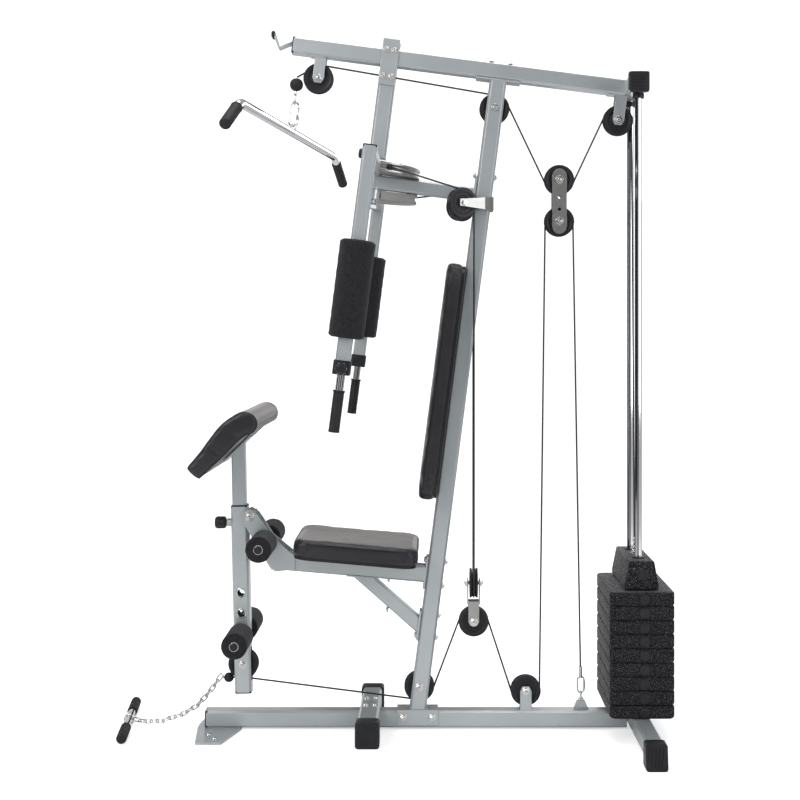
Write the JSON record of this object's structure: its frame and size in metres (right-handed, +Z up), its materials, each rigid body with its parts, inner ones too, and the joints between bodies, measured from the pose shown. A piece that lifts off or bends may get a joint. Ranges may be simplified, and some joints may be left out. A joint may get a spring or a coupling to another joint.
{
  "type": "multi station home gym",
  "caption": "Free-standing multi station home gym: weight stack on guide rods, cable and pulley drive, high bar, butterfly arms, seat with leg lever, curl pad and low bar.",
  "frame": {"origin": "on the floor, under the middle of the machine's bounding box", "axes": "+Z up, -X the side the user faces, +X towards the weight stack, -Y the user's left"},
  "size_m": [1.6575, 1.2026, 2.0755],
  "materials": {
    "silver_paint": "silver-grey metallic paint, semi gloss",
    "zinc": "zinc-plated steel",
    "chrome": "bright chrome plate",
    "black_plastic": "black moulded nylon",
    "foam": "closed-cell foam, matte",
    "vinyl": "black vinyl upholstery, fine grain",
    "granite": "speckled rough black casing",
    "cable": "black coated steel cable"
  },
  "bodies": {
    "frame": {"base_rail": "silver_paint", "rear_foot_tube": "silver_paint", "rear_foot_cap_left": "black_plastic", "rear_foot_cap_right": "black_plastic", "front_stabiliser": "silver_paint", "stabiliser_boot_left": "black_plastic", "stabiliser_boot_right": "black_plastic", "main_upright": "silver_paint", "top_beam": "silver_paint", "front_post": "silver_paint", "fly_pulley_bracket": "zinc", "seat_tube": "silver_paint", "seat_pad": "vinyl", "back_pad": "vinyl", "upper_roller": "foam", "guide_rod_left": "chrome", "guide_rod_right": "chrome", "weight_plate_6": "granite", "weight_plate_7": "granite", "weight_plate_8": "granite", "weight_plate_9": "granite", "lat_cable": "cable", "low_cable": "cable", "fly_cable": "cable"},
    "stack": {"top_weight_block": "granite", "weight_plate_1": "granite", "weight_plate_2": "granite", "weight_plate_3": "granite", "weight_plate_4": "granite", "weight_plate_5": "granite"},
    "selector_pin": {"selector_pin": "zinc"},
    "lat_bar": {"lat_bar": "chrome"},
    "floating_block": {"floating_pulley_block": "zinc"},
    "hanging_block": {"hanging_pulley_block": "zinc"},
    "left_arm": {"fly_arm_left": "silver_paint", "fly_foam_left": "foam"},
    "right_arm": {"fly_arm_right": "silver_paint", "fly_foam_right": "foam"},
    "left_handle": {"fly_handle_left": "black_plastic"},
    "right_handle": {"fly_handle_right": "black_plastic"},
    "leg_lever": {"leg_lever": "silver_paint", "lower_roller": "foam"},
    "curl_post": {"curl_post": "silver_paint", "curl_pad": "vinyl"},
    "curl_knob": {"curl_post_knob": "black_plastic"},
    "low_stop": {"low_cable_stop": "black_plastic"},
    "t_bar": {"t_bar": "chrome"},
    "front_pulley": {"front_pulley": "black_plastic"},
    "upright_top_pulley": {"upright_top_pulley": "black_plastic"},
    "rear_top_pulley": {"rear_top_pulley": "black_plastic"},
    "floating_upper_pulley": {"floating_upper_pulley": "black_plastic"},
    "floating_lower_pulley": {"floating_lower_pulley": "black_plastic"},
    "hanging_upper_pulley": {"hanging_upper_pulley": "black_plastic"},
    "hanging_lower_pulley": {"hanging_lower_pulley": "black_plastic"},
    "upright_bottom_pulley": {"upright_bottom_pulley": "black_plastic"},
    "base_pulley": {"base_pulley": "black_plastic"},
    "lever_pulley": {"lever_pulley": "black_plastic"},
    "fly_pulley_left": {"fly_pulley_left": "black_plastic"},
    "fly_pulley_right": {"fly_pulley_right": "black_plastic"}
  },
  "joints": [
    {"name": "stack_lift", "type": "slide", "parent": "frame", "child": "stack", "axis": [0, 0, 1], "range_m": [0, 0.7], "deforming": ["lat_cable"]},
    {"name": "bar_pulldown", "type": "slide", "parent": "frame", "child": "lat_bar", "axis": [0, 0, -1], "range_m": [0, 0.7]},
    {"name": "selector_pin_pull", "type": "slide", "parent": "stack", "child": "selector_pin", "axis": [1, 0, 0], "range_m": [0, 0.13]},
    {"name": "arm_left_swing", "type": "hinge", "parent": "frame", "child": "left_arm", "pos_m": [-0.04554, 0, 1.7], "axis": [-0.1271, 0, -0.9919], "range_deg": [0, 70], "deforming": ["fly_cable"]},
    {"name": "arm_right_swing", "type": "hinge", "parent": "frame", "child": "right_arm", "pos_m": [-0.04554, 0, 1.7], "axis": [0.1271, 0, 0.9919], "range_deg": [-1, 71]},
    {"name": "handle_left_slide", "type": "slide", "parent": "left_arm", "child": "left_handle", "axis": [-0.1271, 0, -0.9919], "range_m": [0, 0.06]},
    {"name": "handle_right_slide", "type": "slide", "parent": "right_arm", "child": "right_handle", "axis": [-0.1271, 0, -0.9919], "range_m": [0, 0.06]},
    {"name": "leg_lever_swing", "type": "hinge", "parent": "frame", "child": "leg_lever", "pos_m": [-0.42354, 0, 0.633], "axis": [0, 1, 0], "range_deg": [0, 70], "deforming": ["low_cable"]},
    {"name": "curl_post_slide", "type": "slide", "parent": "leg_lever", "child": "curl_post", "axis": [-0.0195, 0, 0.9998], "range_m": [-0.04, 0.06]},
    {"name": "curl_knob_turn", "type": "hinge", "parent": "leg_lever", "child": "curl_knob", "pos_m": [-0.48004, 0, 0.612], "axis": [-1, 0, 0], "continuous": true},
    {"name": "low_bar_pull", "type": "slide", "parent": "leg_lever", "child": "low_stop", "axis": [-1, 0, 0], "range_m": [0, 0.4]},
    {"name": "t_bar_hang", "type": "hinge", "parent": "low_stop", "child": "t_bar", "pos_m": [-0.51454, 0, 0.1495], "axis": [0, 1, 0], "range_deg": [-75, 5]},
    {"name": "floating_travel", "type": "slide", "parent": "frame", "child": "floating_block", "axis": [0, 0, -1], "range_m": [0, 0.24]},
    {"name": "hanging_travel", "type": "slide", "parent": "frame", "child": "hanging_block", "axis": [0, 0, 1], "range_m": [0, 0.17]},
    {"name": "pulley_spin_front", "type": "hinge", "parent": "frame", "child": "front_pulley", "pos_m": [-0.22104, 0, 1.9355], "axis": [0, 1, 0], "continuous": true},
    {"name": "pulley_spin_upright_top", "type": "hinge", "parent": "frame", "child": "upright_top_pulley", "pos_m": [0.30346, 0, 1.845], "axis": [0, 1, 0], "continuous": true},
    {"name": "pulley_spin_rear_top", "type": "hinge", "parent": "frame", "child": "rear_top_pulley", "pos_m": [0.67146, 0, 1.81], "axis": [0, 1, 0], "continuous": true},
    {"name": "pulley_spin_floating_upper", "type": "hinge", "parent": "floating_block", "child": "floating_upper_pulley", "pos_m": [0.49646, 0, 1.633], "axis": [0, 1, 0], "continuous": true},
    {"name": "pulley_spin_floating_lower", "type": "hinge", "parent": "floating_block", "child": "floating_lower_pulley", "pos_m": [0.49646, 0, 1.509], "axis": [0, 1, 0], "continuous": true},
    {"name": "pulley_spin_hanging_upper", "type": "hinge", "parent": "hanging_block", "child": "hanging_upper_pulley", "pos_m": [0.24146, 0, 0.432], "axis": [1, 0, 0], "continuous": true},
    {"name": "pulley_spin_hanging_lower", "type": "hinge", "parent": "hanging_block", "child": "hanging_lower_pulley", "pos_m": [0.24146, 0, 0.318], "axis": [0, 1, 0], "continuous": true},
    {"name": "pulley_spin_upright_bottom", "type": "hinge", "parent": "frame", "child": "upright_bottom_pulley", "pos_m": [0.07946, 0, 0.125], "axis": [0, 1, 0], "continuous": true},
    {"name": "pulley_spin_base", "type": "hinge", "parent": "frame", "child": "base_pulley", "pos_m": [0.39646, 0, 0.112], "axis": [0, 1, 0], "continuous": true},
    {"name": "pulley_spin_lever", "type": "hinge", "parent": "leg_lever", "child": "lever_pulley", "pos_m": [-0.44454, 0, 0.192], "axis": [0, 1, 0], "continuous": true},
    {"name": "pulley_spin_fly_left", "type": "hinge", "parent": "frame", "child": "fly_pulley_left", "pos_m": [0.20486, -0.0605, 1.56], "axis": [0.4695, -0.8829, 0], "continuous": true},
    {"name": "pulley_spin_fly_right", "type": "hinge", "parent": "frame", "child": "fly_pulley_right", "pos_m": [0.20486, 0.0605, 1.56], "axis": [0.4695, 0.8829, 0], "continuous": true}
  ],
  "couplings": [
    {"joint": "bar_pulldown", "follows": "stack_lift", "ratio": 1},
    {"joint": "pulley_spin_front", "follows": "stack_lift", "rad_per_m": -24.096},
    {"joint": "pulley_spin_upright_top", "follows": "stack_lift", "rad_per_m": -24.096},
    {"joint": "pulley_spin_rear_top", "follows": "stack_lift", "rad_per_m": -24.096},
    {"joint": "pulley_spin_floating_upper", "follows": "stack_lift", "rad_per_m": 24.096},
    {"joint": "arm_right_swing", "follows": "arm_left_swing", "ratio": 1},
    {"joint": "hanging_travel", "follows": "arm_left_swing", "m_per_rad": 0.132},
    {"joint": "pulley_spin_fly_left", "follows": "arm_left_swing", "ratio": 3.1807},
    {"joint": "pulley_spin_fly_right", "follows": "arm_left_swing", "ratio": -3.1807},
    {"joint": "floating_travel", "follows": "leg_lever_swing", "m_per_rad": 0.1925},
    {"joint": "t_bar_hang", "follows": "leg_lever_swing", "ratio": -1},
    {"joint": "pulley_spin_upright_bottom", "follows": "leg_lever_swing", "ratio": 9.2771},
    {"joint": "pulley_spin_hanging_lower", "follows": "leg_lever_swing", "ratio": -9.2771},
    {"joint": "pulley_spin_base", "follows": "leg_lever_swing", "ratio": 9.2771},
    {"joint": "pulley_spin_floating_lower", "follows": "leg_lever_swing", "ratio": -4.6386},
    {"joint": "pulley_spin_lever", "follows": "low_bar_pull", "rad_per_m": 24.096}
  ]
}
